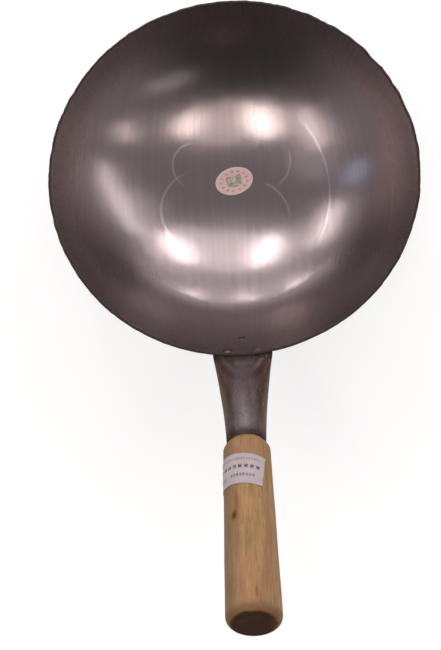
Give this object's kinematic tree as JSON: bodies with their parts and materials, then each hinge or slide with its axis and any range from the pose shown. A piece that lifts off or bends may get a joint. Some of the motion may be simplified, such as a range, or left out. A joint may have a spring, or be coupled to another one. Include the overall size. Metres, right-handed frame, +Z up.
{
  "type": "carbon steel wok",
  "caption": "Round carbon steel wok with a riveted hollow steel handle that ends in a turned wooden grip.",
  "frame": {"origin": "middle of the flat spot under the bowl, on the surface the wok stands on", "axes": "+Z up, square to the level rim; the handle leaves the rim towards -Y; +X to the right seen from the handle's side"},
  "size_m": [0.2996, 0.4739, 0.2406],
  "materials": {
    "bowl_steel": "bare carbon steel with a fine straight brushed grain",
    "socket_steel": "bare rolled sheet, brownish",
    "rivet_steel": "bare hammered steel",
    "grip_wood": "unpainted turned wood, sanded",
    "sticker_paper": "matt paper",
    "label_paper": "matt paper"
  },
  "bodies": {
    "root": {"bowl": "bowl_steel", "handle_socket": "socket_steel", "rivet_left": "rivet_steel", "rivet_right": "rivet_steel", "rivet_lower": "rivet_steel", "wood_grip": "grip_wood", "grip_nail": "rivet_steel", "bowl_sticker": "sticker_paper", "grip_label": "label_paper"}
  },
  "joints": []
}
